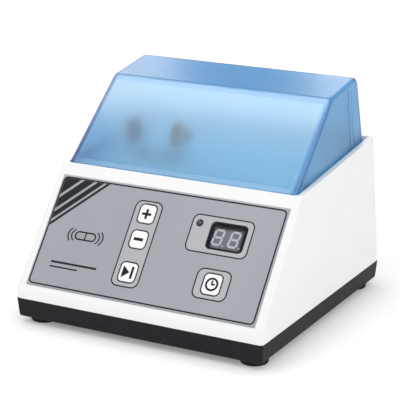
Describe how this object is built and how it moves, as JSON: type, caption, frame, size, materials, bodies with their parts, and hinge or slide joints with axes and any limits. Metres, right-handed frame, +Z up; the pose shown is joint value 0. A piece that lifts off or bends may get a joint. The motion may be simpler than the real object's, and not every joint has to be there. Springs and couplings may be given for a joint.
{
  "type": "dental amalgamator",
  "caption": "Bench-top capsule mixer: wedge housing with a sloped key panel, hinged frosted lid, motor-driven rocking fork with a sprung jaw, rear inlet and rocker switch.",
  "frame": {"origin": "centre of the footprint, on the surface that the feet stand on", "axes": "+X to the right of the user, +Y to the rear, +Z up"},
  "size_m": [0.2, 0.204, 0.1696],
  "materials": {
    "white_housing": "fine satin moulding",
    "black_tray": "fine texture moulding",
    "black_rubber": "matt rubber",
    "frosted_blue": "frosted translucent",
    "panel_grey": "printed film",
    "key_white": "satin",
    "smoked_window": "clear smoked",
    "display_black": "matt",
    "segment_grey": "diffuse",
    "lamp_dark": "clear tinted",
    "deck_white": "satin moulding",
    "black_plastic": "satin",
    "steel": "zinc plated",
    "bright_steel": "ground",
    "core_iron": "varnished laminations",
    "alloy": "die cast",
    "brass": "plain",
    "copper": "enamelled wire",
    "carbon": "pressed carbon",
    "board_green": "solder mask",
    "lead_jacket": "soft jacket",
    "magnet": "nickel plated",
    "clear_glass": "clear"
  },
  "bodies": {
    "housing": {"housing_shell": "white_housing", "base_tray": "black_tray", "rubber_feet": "black_rubber", "base_screws": "steel", "chamber_deck": "deck_white", "slot_bezel": "black_plastic", "deck_plug": "black_rubber", "housing_screws": "steel", "hinge_pins": "bright_steel", "reed_switch": "clear_glass", "overlay_panel": "panel_grey", "display_window": "smoked_window", "display_module": "display_black", "digit_segments": "segment_grey", "status_led": "lamp_dark", "control_board": "board_green", "key_switches": "black_plastic", "board_chips": "black_plastic", "motor_can": "steel", "field_stack": "core_iron", "field_coils": "copper", "end_bells": "alloy", "motor_bearings": "bright_steel", "brush_holders": "brass", "carbon_brushes": "carbon", "motor_bracket": "steel", "motor_screws": "steel", "isolators": "black_rubber", "anchor_spring": "bright_steel", "power_board": "board_green", "transformer": "core_iron", "heat_sink": "alloy", "power_parts": "black_plastic", "inlet_socket": "black_plastic", "inlet_pins": "brass", "rocker_housing": "black_plastic", "internal_leads": "lead_jacket"},
    "lid": {"lid_shell": "frosted_blue", "lid_magnet": "magnet", "lid_pads": "black_rubber"},
    "rotor": {"armature_core": "core_iron", "armature_windings": "copper", "commutator": "copper", "motor_shaft": "bright_steel", "cooling_fan": "black_plastic", "swash_hub": "steel"},
    "arm": {"mixing_arm": "alloy", "arm_cap": "alloy", "arm_cap_screws": "steel", "fixed_jaw": "black_plastic", "jaw_pin": "bright_steel", "jaw_spring": "bright_steel"},
    "jaw": {"moving_jaw": "steel", "moving_jaw_pad": "black_plastic"},
    "plus_key": {"key_plus": "key_white"},
    "minus_key": {"key_minus": "key_white"},
    "start_key": {"key_start": "key_white"},
    "mode_key": {"key_mode": "key_white"},
    "rocker": {"power_rocker": "black_plastic"},
    "fuse_carrier": {"fuse_drawer": "black_plastic"}
  },
  "joints": [
    {"name": "lid_hinge", "type": "hinge", "parent": "housing", "child": "lid", "pos_m": [0, 0.0845, 0.118], "axis": [-1, 0, 0], "range_deg": [0, 90]},
    {"name": "rotor_spin", "type": "hinge", "parent": "housing", "child": "rotor", "pos_m": [-0.0448, 0.01, 0.06], "axis": [1, 0, 0], "continuous": true},
    {"name": "arm_rock", "type": "hinge", "parent": "housing", "child": "arm", "pos_m": [-0.0448, 0.01, 0.06], "axis": [0, 1, 0], "range_deg": [-7, 7], "stiffness_Nm_per_rad": 1.2, "deforming": ["anchor_spring"]},
    {"name": "jaw_open", "type": "hinge", "parent": "arm", "child": "jaw", "pos_m": [-0.0658, 0.01, 0.1122], "axis": [0, -1, 0], "range_deg": [0, 15], "stiffness_Nm_per_rad": 0.15, "springref_deg": -20.05},
    {"name": "plus_press", "type": "slide", "parent": "housing", "child": "plus_key", "axis": [0, 0.7856, -0.6187], "range_m": [0, 0.0005], "stiffness_N_per_m": 800, "springref_m": -0.0002},
    {"name": "minus_press", "type": "slide", "parent": "housing", "child": "minus_key", "axis": [0, 0.7856, -0.6187], "range_m": [0, 0.0005], "stiffness_N_per_m": 800, "springref_m": -0.0002},
    {"name": "start_press", "type": "slide", "parent": "housing", "child": "start_key", "axis": [0, 0.7856, -0.6187], "range_m": [0, 0.0005], "stiffness_N_per_m": 800, "springref_m": -0.0002},
    {"name": "mode_press", "type": "slide", "parent": "housing", "child": "mode_key", "axis": [0, 0.7856, -0.6187], "range_m": [0, 0.0005], "stiffness_N_per_m": 800, "springref_m": -0.0002},
    {"name": "rocker_tilt", "type": "hinge", "parent": "housing", "child": "rocker", "pos_m": [0.022, 0.09579, 0.05954], "axis": [1, 0, 0], "range_deg": [0, 18]},
    {"name": "fuse_slide", "type": "slide", "parent": "housing", "child": "fuse_carrier", "axis": [0, 0.993, 0.118], "range_m": [0, 0.018]}
  ]
}
